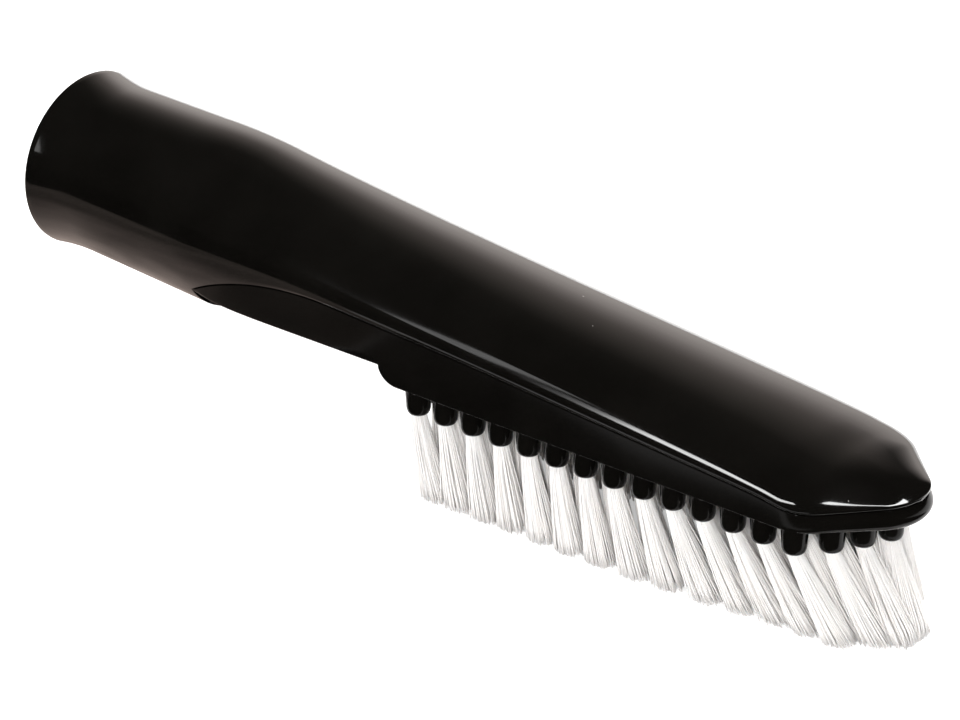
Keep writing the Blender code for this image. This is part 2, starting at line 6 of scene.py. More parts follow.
import bmesh
import bpy
from bpy.props import FloatProperty, FloatVectorProperty, IntProperty, PointerProperty
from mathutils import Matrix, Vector


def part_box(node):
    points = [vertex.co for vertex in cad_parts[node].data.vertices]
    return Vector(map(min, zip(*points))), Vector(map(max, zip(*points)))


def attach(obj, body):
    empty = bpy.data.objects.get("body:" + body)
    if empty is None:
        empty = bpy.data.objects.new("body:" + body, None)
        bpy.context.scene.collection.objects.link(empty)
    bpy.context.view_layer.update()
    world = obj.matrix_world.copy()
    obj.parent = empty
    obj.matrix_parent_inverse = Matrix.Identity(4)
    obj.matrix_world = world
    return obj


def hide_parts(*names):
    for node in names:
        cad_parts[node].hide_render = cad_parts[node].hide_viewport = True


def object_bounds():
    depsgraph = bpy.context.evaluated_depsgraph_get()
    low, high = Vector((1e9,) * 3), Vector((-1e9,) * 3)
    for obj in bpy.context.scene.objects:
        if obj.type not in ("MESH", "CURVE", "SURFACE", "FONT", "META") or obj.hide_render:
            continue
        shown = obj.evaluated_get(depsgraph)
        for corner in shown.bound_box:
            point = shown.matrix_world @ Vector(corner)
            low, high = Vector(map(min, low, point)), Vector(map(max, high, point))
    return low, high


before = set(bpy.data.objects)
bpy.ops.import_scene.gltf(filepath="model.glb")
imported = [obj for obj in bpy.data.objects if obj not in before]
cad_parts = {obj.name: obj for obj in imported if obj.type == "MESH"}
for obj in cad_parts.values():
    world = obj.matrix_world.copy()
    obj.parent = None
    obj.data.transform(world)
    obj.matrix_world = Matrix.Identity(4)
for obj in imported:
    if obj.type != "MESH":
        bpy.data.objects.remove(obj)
CAD_BOX = [list(corner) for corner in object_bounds()]

bl_info = {
    "name": "Vacuum Brush Attachment",
    "version": (1, 0, 0),
    "blender": (4, 5, 0),
    "location": "View3D > Sidebar > Brush",
    "description": "Builds a glossy vacuum brush with filament tufts on a plain studio stage",
    "category": "Add Mesh",
}

MM = 0.001
WELD = 0.001 * MM  # vertices closer than this are one
CREASE = radians(40)  # edges sharper than this stay sharp

# Sizes of the body, in metres from the mouth of the socket
SOCKET_LENGTH = 48.0 * MM
BORE_DEPTH = 45.0 * MM
BORE_MOUTH_RADIUS = 17.65 * MM
BORE_END_RADIUS = 17.35 * MM
MOUTH_TUBE_RADIUS = 19.55 * MM
RIM_FLARE = 1.35 * MM
RIM_FLARE_LENGTH = 12.5 * MM
RIM_ROUNDING = 0.8 * MM
BORE_ROUNDING = 0.5 * MM
AXIS_PITCH = radians(2.9)
MOUTH_SKEW_LENGTH = 30.0 * MM
HOOD_WALL = 2.0 * MM
HOOD_OVERHANG = 0.3 * MM
LIP_DEPTH = 0.7 * MM
LIP_UNDERSIDE = 0.25 * MM
LIP_FADE_LENGTH = 62.0 * MM
LIP_FADE_POWER = 3.6
LIP_CURL_LENGTH = 45.0 * MM  # length over which the round belly turns into an upright lip
LIP_CURL_POWER = 4
CREST_EASE = 8.0 * MM  # the crest is averaged over this far each way
CREST_EASE_REACH = 24.0 * MM  # from the tube's end, both ways
NOSE_ROLL_LENGTH = 17.0 * MM
NOSE_ROLL_POWER = 2.2
NOSE_ARCH_POWER = 1.65  # power of the nose's arched sections, which are ellipses elsewhere
NOSE_BLEND_LENGTH = 14.0 * MM
NOSE_BULGE = 0.9 * MM  # of the base's wall
NOSE_SKIRT_ROUNDING = 2.2 * MM
JOINT_GAP = 0.3 * MM
BASE_INSET = 0.1 * MM
REAR_TAPER_LENGTH = 32.0 * MM
REAR_TAPER_POWER = 4
NECK_FLOOR_HEIGHT = 9.5 * MM
HEAD_FLOOR_HEIGHT = 5.5 * MM
FLOOR_THICKNESS = 2.5 * MM
STEP_START = 105.5 * MM
STEP_LENGTH = 5.0 * MM
NOSE_CORNER_RADIUS = 11.0 * MM
NOSE_TIP_RADIUS = 10.9 * MM
SKIRT_ROUNDING = 0.5 * MM
TONGUE_HEIGHT = 2.4 * MM
TONGUE_TOE = 0.9 * MM
TONGUE_WALL = 1.5 * MM
TONGUE_CLEARANCE = 0.6 * MM
TONGUE_NOSE_GAP = 24.0 * MM
MOUTH_REAR_GAP = 11.6 * MM
MOUTH_NOSE_GAP = 5.4 * MM
MOUTH_RADIUS = 9.5 * MM
MOUTH_ROUNDING = 0.6 * MM
BOSS_FOOT_RADIUS = 2.68 * MM
BOSS_DRAFT = 0.3 * MM
BOSS_ROUNDING = 2.0 * MM
BOSS_EDGE = 0.85 * MM
BOSS_SINK = 1.0 * MM
HOLE_RADIUS = 1.75 * MM
HOLE_DEPTH = 4.5 * MM
HOLE_ROUNDING = 0.25 * MM

# Place along the hood as a share of its length, then the heights of the widest line and of the
# top as shares of the tube's diameter, above the foot of the bosses
HOOD_PROFILE_SHARES = (
    (0.000, 0.5115, 1.0115),
    (0.064, 0.512, 0.956),
    (0.130, 0.514, 0.903),
    (0.200, 0.510, 0.851),
    (0.281, 0.486, 0.799),
    (0.443, 0.443, 0.701),
    (0.606, 0.386, 0.615),
    (0.767, 0.328, 0.522),
    (0.854, 0.295, 0.455),
    (0.908, 0.263, 0.402),
    (1.000, 0.276, 0.325),
)


# The frame's own places

def cad_tuft_ends(node):
    """Middle of a CAD tuft at its plug's foot and at its tips."""
    points = [vertex.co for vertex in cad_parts[node].data.vertices]
    low = min(point.z for point in points)
    high = max(point.z for point in points)
    tips = [point for point in points if point.z < low + JOINT_GAP]
    backs = [point for point in points if point.z > high - JOINT_GAP]
    return sum(backs, Vector()) / len(backs), sum(tips, Vector()) / len(tips)


TUFT_NODES = sorted(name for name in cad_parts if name.startswith("tuft_"))
SHELL_LOW, SHELL_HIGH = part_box("upper_shell")
FOOT_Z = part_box("lower_base")[0].z
RIM_RADIUS = MOUTH_TUBE_RADIUS + RIM_FLARE
MOUTH_X = SHELL_LOW.x + RIM_RADIUS * sin(AXIS_PITCH)
BODY_LENGTH = SHELL_HIGH.x - MOUTH_X
HOOD_LENGTH = BODY_LENGTH - SOCKET_LENGTH
TUBE_RADIUS = 20.4 * MM
TUBE_OD = 2 * TUBE_RADIUS
BASE_HALF_WIDTH = TUBE_RADIUS - BASE_INSET
MOUTH_START = cad_tuft_ends("tuft_rear_1")[0].x - MOUTH_X + MOUTH_REAR_GAP
MOUTH_END = cad_tuft_ends("tuft_right_14")[0].x - MOUTH_X - MOUTH_NOSE_GAP


# Curves of the body: x is the distance from the socket's mouth, heights are above the floor

def smooth(share):
    share = min(max(share, 0.0), 1.0)
    return share * share * (3 - 2 * share)


def through(points, x):
    """Value at x on a smooth curve through (x, value) points, straight beyond its ends."""
    count = len(points)
    slopes = []
    for i in range(count):
        before = points[max(i - 1, 0)]
        after = points[min(i + 1, count - 1)]
        slopes.append((after[1] - before[1]) / (after[0] - before[0]))
    if x <= points[0][0]:
        return points[0][1] + slopes[0] * (x - points[0][0])
    if x >= points[-1][0]:
        return points[-1][1] + slopes[-1] * (x - points[-1][0])
    i = max(k for k in range(count - 1) if points[k][0] <= x)
    span = points[i + 1][0] - points[i][0]
    t = (x - points[i][0]) / span
    start = points[i][1] * (2 * t ** 3 - 3 * t ** 2 + 1) + slopes[i] * span * (t ** 3 - 2 * t ** 2 + t)
    end = points[i + 1][1] * (3 * t ** 2 - 2 * t ** 3) + slopes[i + 1] * span * (t ** 3 - t ** 2)
    return start + end


WIDEST_CURVE = [(SOCKET_LENGTH + a * HOOD_LENGTH, FOOT_Z + b * TUBE_OD) for a, b, c in HOOD_PROFILE_SHARES]
TOP_CURVE = [(SOCKET_LENGTH + a * HOOD_LENGTH, FOOT_Z + c * TUBE_OD) for a, b, c in HOOD_PROFILE_SHARES]


def widest_height(x):
    return through(WIDEST_CURVE, x)


def axis_height(x):
    return WIDEST_CURVE[0][1] + tan(AXIS_PITCH) * (SOCKET_LENGTH - x)


def top_height(x):
    return through(TOP_CURVE, x)


def tube_radius(x):
    behind_flare = MOUTH_TUBE_RADIUS + (TUBE_RADIUS - MOUTH_TUBE_RADIUS) * x / SOCKET_LENGTH
    return behind_flare + RIM_FLARE * max(0.0, 1 - x / RIM_FLARE_LENGTH) ** 2


BELLY_DEPTH = WIDEST_CURVE[0][1] - FOOT_Z - NECK_FLOOR_HEIGHT
REAR_NARROWING = BASE_HALF_WIDTH - sqrt(TUBE_RADIUS ** 2 - BELLY_DEPTH ** 2)


def lip_depth(x):
    """Height of the part of the hood that curves in again below its widest line."""
    fade = max(0.0, 1 - (x - SOCKET_LENGTH) / LIP_FADE_LENGTH) ** LIP_FADE_POWER
    return LIP_DEPTH + (BELLY_DEPTH - LIP_DEPTH) * fade


def seam_height(x):
    return widest_height(x) - lip_depth(x)


def under_height(x):
    """Underside of the base: the neck's, then the head's below a quarter-round step."""
    along = min(1.0, max(0.0, (x - STEP_START) / STEP_LENGTH))
    drop = sqrt(1 - (1 - along) ** 2)
    return FOOT_Z + NECK_FLOOR_HEIGHT - (NECK_FLOOR_HEIGHT - HEAD_FLOOR_HEIGHT) * drop


def nose_places():
    """Start of the nose's corners, the tip's centre and the point where the nose's sides meet."""
    flank = sqrt(2)
    apex = BODY_LENGTH - HOOD_OVERHANG + NOSE_TIP_RADIUS * (flank - 1)
    corner_start = apex - BASE_HALF_WIDTH - NOSE_CORNER_RADIUS * tan(pi / 8)
    return corner_start, apex - NOSE_TIP_RADIUS * flank, apex


def nose_half_width(x, outset):
    """Half width of the pointed nose, whose sides meet at a right angle, moved out by outset."""
    flank = sqrt(2)
    corner_start, tip_centre, apex = nose_places()
    half_width = BASE_HALF_WIDTH + outset
    corner_radius = NOSE_CORNER_RADIUS + outset
    tip_radius = NOSE_TIP_RADIUS + outset
    corner_end = corner_start + corner_radius / flank
    if x <= corner_start:
        return half_width
    if x <= corner_end:
        return half_width - corner_radius + sqrt(corner_radius ** 2 - (x - corner_start) ** 2)
    if x <= tip_centre + tip_radius / flank:
        return apex + outset * flank - x
    return sqrt(max(0.0, tip_radius ** 2 - (x - tip_centre) ** 2))


def rear_taper(x):
    fade = max(0.0, 1 - (x - SOCKET_LENGTH) / REAR_TAPER_LENGTH) ** REAR_TAPER_POWER
    return REAR_NARROWING * fade


def base_half_width(x):
    return nose_half_width(x, 0.0) - rear_taper(x)


def hood_half_width(x):
    tube = tube_radius(min(x, SOCKET_LENGTH))
    wide = nose_half_width(x, HOOD_OVERHANG)
    return tube + (wide - tube) * smooth((x - SOCKET_LENGTH) / LIP_FADE_LENGTH)


def hood_rise(x):
    roll = min(1.0, max(0.0, (x - (BODY_LENGTH - NOSE_ROLL_LENGTH)) / NOSE_ROLL_LENGTH))
    return (top_height(x) - widest_height(x)) * sqrt(1 - roll ** NOSE_ROLL_POWER)


def nose_share(x):
    """0 behind the nose's corners, rising to 1 towards its tip."""
    return smooth((x - nose_places()[0]) / NOSE_BLEND_LENGTH)


def place(x, y, z):
    """World place of a point measured from the socket's mouth."""
    return Vector((MOUTH_X + x, y, z))


# Mesh helpers

def spaced(start, end, count):
    return [start + (end - start) * i / count for i in range(count + 1)]


def quarter_round(steps):
    """Shares of a radius, aside and down, along a quarter circle from (0, 1) to (1, 0)."""
    return [(1 - cos(turn), 1 - sin(turn)) for turn in spaced(0.0, pi / 2, steps)]


def skin(bm, ring, after, closed=True):
    """Quads between two rows of vertices."""
    count = len(ring)
    for i in range(count if closed else count - 1):
        j = (i + 1) % count
        bm.faces.new((ring[i], ring[j], after[j], after[i]))


def skin_rows(bm, rows, closed=True):
    for row, after in zip(rows, rows[1:]):
        skin(bm, row, after, closed)


def add_row(bm, points):
    return [bm.verts.new(point) for point in points]


def section_row(bm, x, points):
    """Vertices at the (y, z) points of the section at x."""
    return add_row(bm, [place(x, y, z) for y, z in points])


def ring_points(centre, radius, height, count, shift=0.0):
    """Points round an upright axis; shift turns them by a share of their spacing."""
    turns = [2 * pi * (i + shift) / count for i in range(count)]
    return [Vector((centre.x + radius * cos(turn), centre.y + radius * sin(turn), height)) for turn in turns]


def linked(name, data):
    """A new object for the data, in the scene."""
    made = bpy.data.objects.new(name, data)
    bpy.context.scene.collection.objects.link(made)
    return made


def smooth_object(name, bm, material):
    bmesh.ops.recalc_face_normals(bm, faces=bm.faces[:])
    mesh = bpy.data.meshes.new(name)
    bm.to_mesh(mesh)
    bm.free()
    mesh.materials.append(material)
    mesh.shade_smooth()
    return linked(name, mesh)


def finished_object(name, bm, material):
    """Welds the mesh and makes an object of it, with its creases marked."""
    bmesh.ops.remove_doubles(bm, verts=bm.verts[:], dist=WELD)
    bmesh.ops.dissolve_degenerate(bm, edges=bm.edges[:], dist=WELD)
    made = smooth_object(name, bm, material)
    made.data.set_sharp_from_angle(angle=CREASE)
    return made


def apply_modifiers(piece):
    """Bakes the modifiers into the mesh and marks its creases again."""
    graph = bpy.context.evaluated_depsgraph_get()
    mesh = bpy.data.meshes.new_from_object(piece.evaluated_get(graph))
    piece.modifiers.clear()
    piece.data = mesh
    mesh.shade_smooth()
    mesh.set_sharp_from_angle(angle=CREASE)


def seat(piece, nodes):
    """Ties a finished piece to the body and hides the CAD nodes that it stands for."""
    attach(piece, "root")
    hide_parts(*nodes)


# Shader expressions

def arithmetic(operation, swapped=False):
    """A method that joins a Wire and another value in a math node."""
    def method(self, other):
        values = (other, self) if swapped else (self, other)
        return self.graph.node("ShaderNodeMath", values, operation=operation).out(0)
    return method


class Wire:
    """An output socket that can be used in arithmetic."""

    def __init__(self, graph, socket):
        self.graph = graph
        self.socket = socket

    __add__ = arithmetic("ADD")
    __sub__ = arithmetic("SUBTRACT")
    __rsub__ = arithmetic("SUBTRACT", swapped=True)
    __mul__ = __rmul__ = arithmetic("MULTIPLY")
    __gt__ = arithmetic("GREATER_THAN")

    def clamped(self, low, high):
        node = self.graph.node("ShaderNodeMapRange", {
            "Value": self, "From Min": low, "From Max": high, "To Min": 0.0, "To Max": 1.0}, clamp=True)
        return node.out(0)


class Built:
    """A node whose outputs are Wires."""

    def __init__(self, graph, node):
        self.graph = graph
        self.node = node

    def out(self, key):
        return Wire(self.graph, self.node.outputs[key])


class Graph:
    """Adds nodes to one node tree."""

    def __init__(self, owner):
        self.owner = owner
        owner.use_nodes = True
        self.tree = owner.node_tree
        self.tree.nodes.clear()

    def feed(self, socket, value):
        if isinstance(value, Wire):
            self.tree.links.new(value.socket, socket)
        else:
            socket.default_value = value

    def node(self, kind, sockets=(), stops=(), **settings):
        """A node with its settings, its ramp's stops and values or links for its sockets."""
        made = self.tree.nodes.new(kind)
        for key, value in settings.items():
            setattr(made, key, value)
        for i, (position, colour) in enumerate(stops):
            elements = made.color_ramp.elements
            element = elements[i] if i < len(elements) else elements.new(position)
            element.position = position
            element.color = rgba(colour)
        for key, value in sockets.items() if isinstance(sockets, dict) else enumerate(sockets):
            self.feed(made.inputs[key], value)
        return Built(self, made)

    def mix_colour(self, share, first, second):
        return self.node("ShaderNodeMix", {0: share, 6: first, 7: second}, data_type="RGBA").out(2)

    def noise(self, vector, scale, detail=2.0):
        sockets = {"Vector": vector, "Scale": scale, "Detail": detail}
        return self.node("ShaderNodeTexNoise", sockets).out(0)

    def object_place(self):
        return self.node("ShaderNodeTexCoord").out("Object")

    def finish(self, shader):
        """Sends the shader to the surface and returns the material."""
        self.node("ShaderNodeOutputMaterial", {"Surface": shader.out(0)})
        return self.owner


def rgba(colour):
    return (*colour[:3], 1.0)


HAZE_SCALE = 60.0
WAVE_SCALE = 45.0
GRAIN_SCALE = 900.0
GRAIN_SHARE = 0.02  # of the waves' height
DUST_SCALE = 210.0
DUST_RARITY = 0.965  # share of the cells that hold no speck
DUST_COLOUR = (0.33, 0.31, 0.29, 1.0)
HAZE_LIFT = 1.5  # how much lighter the plastic gets where it is hazy


def moulded_black(name, colour, roughness, specular):
    """High-gloss injection-moulded black plastic with faint moulding waves and a little dust."""
    graph = Graph(bpy.data.materials.new(name))
    where = graph.object_place()
    haze = graph.noise(where, HAZE_SCALE, 3.0)
    cells = graph.node("ShaderNodeTexVoronoi", {
        "Vector": where, "Scale": DUST_SCALE, "Randomness": 1.0}, feature="F1")
    chosen = graph.node("ShaderNodeSeparateColor", {"Color": cells.out("Color")}).out(0) > DUST_RARITY
    dust = (1 - cells.out("Distance").clamped(0.022, 0.04)) * chosen
    hazy = rgba([c * HAZE_LIFT for c in colour])
    tone = graph.mix_colour(haze.clamped(0.35, 0.75), rgba(colour), hazy)
    dusty = graph.mix_colour(dust, tone, DUST_COLOUR)
    waves = graph.noise(where, WAVE_SCALE)
    grain = graph.noise(where, GRAIN_SCALE)
    bump = graph.node("ShaderNodeBump", {
        "Strength": 0.06, "Distance": 0.4 * MM, "Height": waves + grain * GRAIN_SHARE})
    shader = graph.node("ShaderNodeBsdfPrincipled", {
        "Base Color": dusty,
        "Roughness": haze.clamped(0.2, 0.9) * 0.05 + dust * 0.4 + roughness,
        "Specular IOR Level": specular,
        "Normal": bump.out(0),
    })
    return graph.finish(shader)


DULL_SHARES = (0.94, 0.925, 0.915)  # of the nylon's colour, for the dullest filaments
TIP_SHARE = 0.9  # of the nylon's colour, at the tips


def nylon(name, colour):
    """Off-white nylon filament: every filament has its own tone, a little duller at the tips."""
    graph = Graph(bpy.data.materials.new(name))
    tone = graph.node("ShaderNodeAttribute", attribute_name="tone").out("Fac")
    along = graph.node("ShaderNodeAttribute", attribute_name="along").out("Fac")
    dull = rgba([c * share for c, share in zip(colour, DULL_SHARES)])
    body = graph.mix_colour(tone, rgba(colour), dull)
    ends = graph.mix_colour(along.clamped(0.9, 1.0) * 0.35, body, rgba([c * TIP_SHARE for c in colour]))
    shader = graph.node("ShaderNodeBsdfPrincipled", {
        "Base Color": ends,
        "Roughness": tone * 0.15 + 0.35,
        "Specular IOR Level": 0.4,
        "Subsurface Weight": 0.7,
        "Subsurface Radius": (1.0, 0.95, 0.9),
        "Subsurface Scale": 0.8 * MM,
    })
    return graph.finish(shader)


# Hood and socket

ARC_COLUMNS = 164
LIP_STEPS = 12
BELLY_COLUMNS = 56
LIP_COLUMNS = 2
ROUNDING_STEPS = 6
CREST_SAMPLES = 8
NEAR_LENGTH = 16.0 * MM
NEAR_STATIONS = 12
MIDDLE_STATIONS = 58
NOSE_STATIONS = 49
NOSE_START = BODY_LENGTH - 32.0 * MM
CAVITY_END = BODY_LENGTH - 3.2 * MM
STEEPEST_TUCK = 0.95  # sine of the angle at which the inner arc may start


def tube_ring(x, radius, angles, outside=True):
    """A ring round the socket's axis, square to the axis at the mouth and upright at its end."""
    lean = sin(AXIS_PITCH) * max(0.0, 1 - x / MOUTH_SKEW_LENGTH)
    eased = outside and x > SOCKET_LENGTH - CREST_EASE_REACH
    lift = crest_height(x) - axis_height(x) - radius if eased else 0.0
    points = []
    for angle in angles:
        along = x + radius * sin(angle) * lean
        height = axis_height(along) + radius * sin(angle) + lift * max(0.0, sin(angle))
        points.append(place(along, radius * cos(angle), height))
    return points


def tube_angles():
    """Angles of the ring's columns: those that run on into the hood, then the belly's."""
    tuck = asin(BELLY_DEPTH / TUBE_RADIUS)
    below = [asin(BELLY_DEPTH / TUBE_RADIUS * share) for share in spaced(1.0, 0.0, LIP_STEPS)[:-1]]
    over = spaced(0.0, pi, ARC_COLUMNS - 2 * LIP_STEPS)
    arc = [-angle for angle in below] + over + [pi + angle for angle in below[::-1]]
    belly = spaced(pi + tuck, 2 * pi - tuck, BELLY_COLUMNS)[1:-1]
    return arc, belly


def plain_crest(x):
    if x <= SOCKET_LENGTH:
        return axis_height(x) + tube_radius(x)
    return widest_height(x) + hood_rise(x)


def crest_height(x):
    """Top of the tube and hood, eased where the hood leaves the tube."""
    away = (x - SOCKET_LENGTH) / CREST_EASE_REACH
    fade = smooth(2 * (1 - abs(away)))
    steps = spaced(-CREST_EASE * fade, CREST_EASE * fade, CREST_SAMPLES)
    return sum(plain_crest(x + step) for step in steps) / len(steps)


def lip_inset(x, share):
    """How far the hood's side has come in at a share of the way down from its widest line."""
    depth = lip_depth(x)
    total = hood_half_width(x) - base_half_width(x)
    radius = (depth ** 2 + total ** 2) / (2 * total)
    belly = radius - sqrt(max(0.0, radius ** 2 - (depth * share) ** 2))
    curl = smooth((x - SOCKET_LENGTH) / LIP_CURL_LENGTH)
    return belly * (1 - curl) + total * share ** LIP_CURL_POWER * curl


def arch_section(x):
    """Outer arc, from the camera's side over the top, as (y, z) points."""
    half_width = hood_half_width(x)
    centre = widest_height(x)
    rise = crest_height(x) - centre
    side = []
    for share in spaced(1.0, 0.0, LIP_STEPS)[:-1]:
        side.append((half_width - lip_inset(x, share), centre - lip_depth(x) * share))
    points = [(-y, z) for y, z in side]
    power = 2 + (NOSE_ARCH_POWER - 2) * nose_share(x)
    for angle in spaced(0.0, pi, ARC_COLUMNS - 2 * LIP_STEPS):
        arch = (1 - abs(cos(angle)) ** power) ** (1 / power) if 0 < sin(angle) else 0.0
        points.append((-half_width * cos(angle), centre + rise * max(arch, 0.0)))
    return points + side[::-1]


def inner_section(x):
    """Inner arc, drawn in to nothing past the end of the cavity."""
    at = min(x, CAVITY_END)
    share = 1 - smooth((x - CAVITY_END) / (BODY_LENGTH - CAVITY_END))
    half_width = (hood_half_width(at) - HOOD_WALL) * share
    rise = max(hood_rise(at) - HOOD_WALL, JOINT_GAP) * share
    centre = widest_height(at)
    drop = TUBE_RADIUS - HOOD_WALL
    floor = max(seam_height(at), FOOT_Z + NECK_FLOOR_HEIGHT if x <= SOCKET_LENGTH else 0.0)
    tuck = asin(min(STEEPEST_TUCK, (centre - floor) / drop))
    points = []
    for angle in spaced(-tuck, pi + tuck, ARC_COLUMNS):
        lift = sin(angle) * (rise if sin(angle) > 0 else drop * share)
        points.append((-half_width * cos(angle), centre + lift))
    return at, points


def lip_points(outer_end, inner_end):
    """The lip's narrow underside, from the outer arc's end inwards, as (y, z) points."""
    corner = Vector(outer_end)
    inward = Vector(inner_end) - corner
    reach = min(LIP_UNDERSIDE, inward.length / 2)
    step = inward.normalized() * reach / LIP_COLUMNS
    return [tuple(corner + step * i) for i in range(1, LIP_COLUMNS + 1)]


def hood_stations():
    near = spaced(SOCKET_LENGTH, SOCKET_LENGTH + NEAR_LENGTH, NEAR_STATIONS)
    middle = spaced(SOCKET_LENGTH + NEAR_LENGTH, NOSE_START, MIDDLE_STATIONS)
    turns = spaced(0.0, pi / 2, NOSE_STATIONS)[1:-1]
    nose = [NOSE_START + (BODY_LENGTH - NOSE_START) * sin(turn) for turn in turns]
    return near + middle[1:] + nose


def tube_profile():
    """(x, radius) points along the tube's outside, from the rim to its end."""
    points = [(RIM_ROUNDING * down, tube_radius(RIM_ROUNDING) - RIM_ROUNDING * aside)
              for aside, down in quarter_round(ROUNDING_STEPS)[:-1][::-1]]
    flare = spaced(RIM_ROUNDING, RIM_FLARE_LENGTH, 10)[1:]
    straight = spaced(RIM_FLARE_LENGTH, SOCKET_LENGTH, 16)[1:]
    return points + [(x, tube_radius(x)) for x in flare + straight]


def bore_profile():
    """(x, radius) points along the bore, from the rim inwards."""
    points = [(BORE_ROUNDING * down, BORE_MOUTH_RADIUS + BORE_ROUNDING * aside)
              for aside, down in quarter_round(ROUNDING_STEPS)]
    for x in spaced(BORE_ROUNDING, BORE_DEPTH, 6)[1:]:
        points.append((x, BORE_MOUTH_RADIUS + (BORE_END_RADIUS - BORE_MOUTH_RADIUS) * x / BORE_DEPTH))
    return points


def build_hood(material):
    bm = bmesh.new()
    arc, belly = tube_angles()
    # the arc's columns run from the -Y side over the top, as the sections of the hood do
    angles = [pi - angle for angle in arc] + [pi - angle for angle in belly]
    rows = [add_row(bm, tube_ring(x, radius, angles)) for x, radius in tube_profile()[::-1]]
    rows += [add_row(bm, tube_ring(x, radius, angles, outside=False)) for x, radius in bore_profile()]
    skin_rows(bm, rows)
    tube_end = rows[0]
    bore_end = rows[-1]
    # shoulder at the end of the bore, then the flat-floored throat through the end wall
    throat = []
    for x in (BORE_DEPTH, SOCKET_LENGTH):
        at, points = inner_section(x)
        across = spaced(points[-1][0], points[0][0], BELLY_COLUMNS)[1:-1]
        floor_line = [(y, points[-1][1]) for y in across]
        throat.append(section_row(bm, x, points + floor_line))
    skin(bm, bore_end, throat[0])
    skin(bm, throat[0], throat[1])
    # hood: closed sections with the rolled lips and the underside
    sections = []
    for x in hood_stations():
        outer_points = arch_section(x)
        at, inner_points = inner_section(x)
        if x <= SOCKET_LENGTH:
            arc_row = tube_end[:ARC_COLUMNS + 1]
            inner_row = throat[1][:ARC_COLUMNS + 1]
        else:
            arc_row = section_row(bm, x, outer_points)
            inner_row = section_row(bm, at, inner_points)
        left_row = section_row(bm, x, lip_points(outer_points[-1], inner_points[-1]))
        right_row = section_row(bm, x, lip_points(outer_points[0], inner_points[0]))
        sections.append(arc_row + left_row + inner_row[::-1] + right_row[::-1])
    tip = place(BODY_LENGTH, 0.0, widest_height(BODY_LENGTH))
    hollow_end = place(CAVITY_END, 0.0, widest_height(CAVITY_END))
    columns = ARC_COLUMNS + 1
    end = [tip] * (columns + LIP_COLUMNS) + [hollow_end] * columns + [tip] * LIP_COLUMNS
    sections.append(add_row(bm, end))
    skin_rows(bm, sections)
    # the end wall under the tube's belly
    start = sections[0]
    left_edge = start[ARC_COLUMNS:ARC_COLUMNS + 1 + LIP_COLUMNS]
    right_edge = start[-LIP_COLUMNS:]
    belly_row = tube_end[ARC_COLUMNS + 1:]
    floor_row = throat[1][ARC_COLUMNS:] + [throat[1][0]]
    wall = belly_row + [start[0]] + right_edge[::-1] + floor_row[::-1] + left_edge[::-1]
    bm.faces.new(wall)
    # the two sides meet at the tip: drop the faces that would stand in the middle plane
    bmesh.ops.remove_doubles(bm, verts=bm.verts[:], dist=WELD)
    folded = [face for face in bm.faces if all(abs(vertex.co.y) < WELD for vertex in face.verts)]
    bmesh.ops.delete(bm, geom=folded, context="FACES")
    return finished_object("glossy_hood", bm, material)


# Base

THINNEST_WALL = 0.1 * MM
SKIRT_EDGE = 0.15 * MM
TRAY_COLUMNS = 14
BOSS_SEGMENTS = 40
CUTTER_REACH = 3.0 * MM  # of the mouth's cutter past the floor, above and below


def arc_places(x, y, radius, turns):
    """Places on the arc round (x, y), as base_outline gives them."""
    return [(x + radius * cos(turn), y + radius * sin(turn), cos(turn), sin(turn))
            for turn in turns]


def base_outline():
    """Places on the +Y side of the base's outline, rear to tip: x, y and the outward normal."""
    start = SOCKET_LENGTH + JOINT_GAP
    corner_start, tip_centre, apex = nose_places()
    step_end = STEP_START + STEP_LENGTH
    stations = spaced(start, start + REAR_TAPER_LENGTH, 24)[:-1]
    stations += spaced(start + REAR_TAPER_LENGTH, STEP_START, 8)[:-1]
    stations += [step_end - STEP_LENGTH * cos(turn) for turn in spaced(0.0, pi / 2, 12)]
    stations += spaced(step_end, corner_start, 34)[1:]
    places = [(x, base_half_width(x), 0.0, 1.0) for x in stations]
    turns = spaced(pi / 2, pi / 4, 12)[1:]
    places += arc_places(corner_start, BASE_HALF_WIDTH - NOSE_CORNER_RADIUS, NOSE_CORNER_RADIUS, turns)
    last = places[-1]
    flank = sqrt(0.5)
    reach = NOSE_TIP_RADIUS * flank
    straight = zip(spaced(last[0], tip_centre + reach, 8), spaced(last[1], reach, 8))
    places += [(x, y, flank, flank) for x, y in straight][1:]
    return places + arc_places(tip_centre, 0.0, NOSE_TIP_RADIUS, spaced(pi / 4, 0.0, 16)[1:])


def tongue_half_width(x):
    below = (lip_depth(x) + TONGUE_TOE) / (TUBE_RADIUS - HOOD_WALL)
    above = max(0.0, TONGUE_HEIGHT - lip_depth(x)) / max(hood_rise(x) - HOOD_WALL, JOINT_GAP)
    inner = hood_half_width(x) - HOOD_WALL
    return inner * sqrt(max(0.0, 1 - max(below, above) ** 2)) - TONGUE_CLEARANCE


